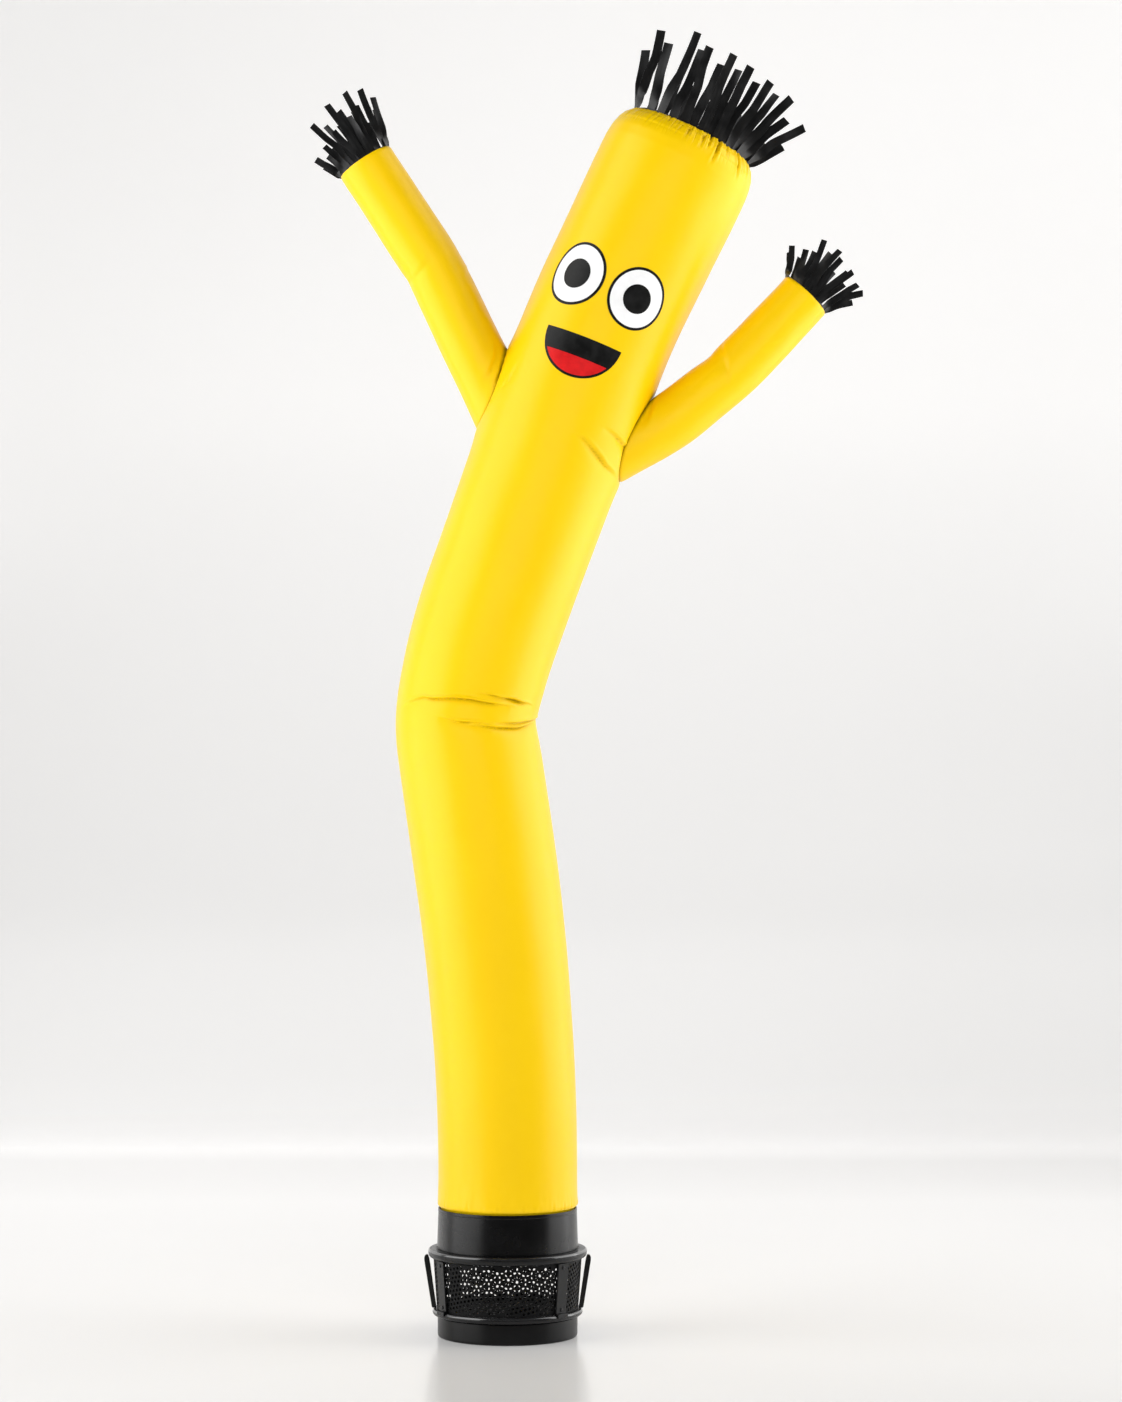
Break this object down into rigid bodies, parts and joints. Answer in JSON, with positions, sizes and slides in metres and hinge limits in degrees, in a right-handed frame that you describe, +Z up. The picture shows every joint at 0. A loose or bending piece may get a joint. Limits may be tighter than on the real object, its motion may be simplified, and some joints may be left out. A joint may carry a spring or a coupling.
{
  "type": "inflatable air dancer on a blower base",
  "caption": "Leaning tube figure of thin inflated cloth with raised arms and black fringes, its foot tucked into the outlet collar of a round blower base.",
  "frame": {"origin": "centre of the base drum's flat underside", "axes": "+Z up; -Y towards the face's side, the front; +X towards the side that the head leans to"},
  "size_m": [1.2858, 0.4606, 2.9235],
  "materials": {
    "yellow_cloth": "satin",
    "black_strip": "satin",
    "black_plastic": "satin",
    "black_metal": "satin"
  },
  "bodies": {
    "root": {"body": "yellow_cloth", "arm_left": "yellow_cloth", "arm_right": "yellow_cloth", "head_fringe": "black_strip", "hand_fringe_left": "black_strip", "hand_fringe_right": "black_strip", "collar": "black_plastic", "base_drum": "black_plastic", "cage_floor": "black_plastic", "flange_ring": "black_metal", "grille": "black_metal", "lower_ring": "black_metal", "post_front_left": "black_metal", "post_front_right": "black_metal", "post_back_right": "black_metal", "post_back_left": "black_metal", "strut_left": "black_metal", "strut_right": "black_metal"}
  },
  "joints": []
}
